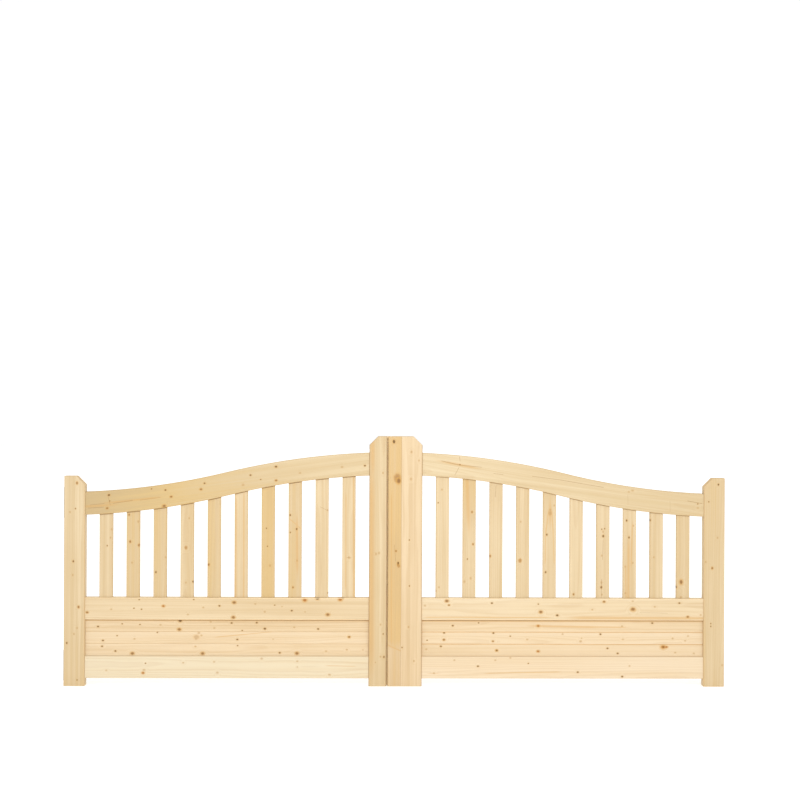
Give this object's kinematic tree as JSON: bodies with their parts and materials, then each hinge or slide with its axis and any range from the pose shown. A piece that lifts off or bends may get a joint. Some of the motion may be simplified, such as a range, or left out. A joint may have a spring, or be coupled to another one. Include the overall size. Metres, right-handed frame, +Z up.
{
  "type": "wooden double driveway gate",
  "caption": "Double driveway gate in planed softwood: swan-neck top rails over upright balusters, boarded lower panels, rebated meeting stiles, strap hinges on wall pintles.",
  "frame": {"origin": "centre of the lower left pintle plate's flat face, which lies on the left pillar", "axes": "+X along the gate to the right as seen from the road, +Y in behind the gate, +Z up"},
  "size_m": [3.024, 0.11, 1.135],
  "materials": {
    "spruce": "matte",
    "zinc_steel": "satin"
  },
  "bodies": {
    "pillar_pintles": {"left_lower_pintle": "zinc_steel", "left_upper_pintle": "zinc_steel", "right_lower_pintle": "zinc_steel", "right_upper_pintle": "zinc_steel"},
    "left_leaf": {"left_hanging_stile": "spruce", "left_meeting_stile": "spruce", "left_top_rail": "spruce", "left_middle_rail": "spruce", "left_bottom_rail": "spruce", "left_baluster_01": "spruce", "left_baluster_02": "spruce", "left_baluster_03": "spruce", "left_baluster_04": "spruce", "left_baluster_05": "spruce", "left_baluster_06": "spruce", "left_baluster_07": "spruce", "left_baluster_08": "spruce", "left_baluster_09": "spruce", "left_baluster_10": "spruce", "left_panel_board_1": "spruce", "left_panel_board_2": "spruce", "left_panel_board_3": "spruce", "left_lower_strap_hinge": "zinc_steel", "left_upper_strap_hinge": "zinc_steel"},
    "right_leaf": {"right_hanging_stile": "spruce", "right_meeting_stile": "spruce", "right_top_rail": "spruce", "right_middle_rail": "spruce", "right_bottom_rail": "spruce", "right_baluster_01": "spruce", "right_baluster_02": "spruce", "right_baluster_03": "spruce", "right_baluster_04": "spruce", "right_baluster_05": "spruce", "right_baluster_06": "spruce", "right_baluster_07": "spruce", "right_baluster_08": "spruce", "right_baluster_09": "spruce", "right_baluster_10": "spruce", "right_panel_board_1": "spruce", "right_panel_board_2": "spruce", "right_panel_board_3": "spruce", "right_lower_strap_hinge": "zinc_steel", "right_upper_strap_hinge": "zinc_steel", "right_closing_strip": "spruce"}
  },
  "joints": [
    {"name": "left_leaf_hinge", "type": "hinge", "parent": "pillar_pintles", "child": "left_leaf", "pos_m": [0.02, -0.0229, 0], "axis": [0, 0, 1], "range_deg": [0, 90]},
    {"name": "right_leaf_hinge", "type": "hinge", "parent": "pillar_pintles", "child": "right_leaf", "pos_m": [3.004, -0.0229, 0], "axis": [0, 0, -1], "range_deg": [0, 90]}
  ]
}
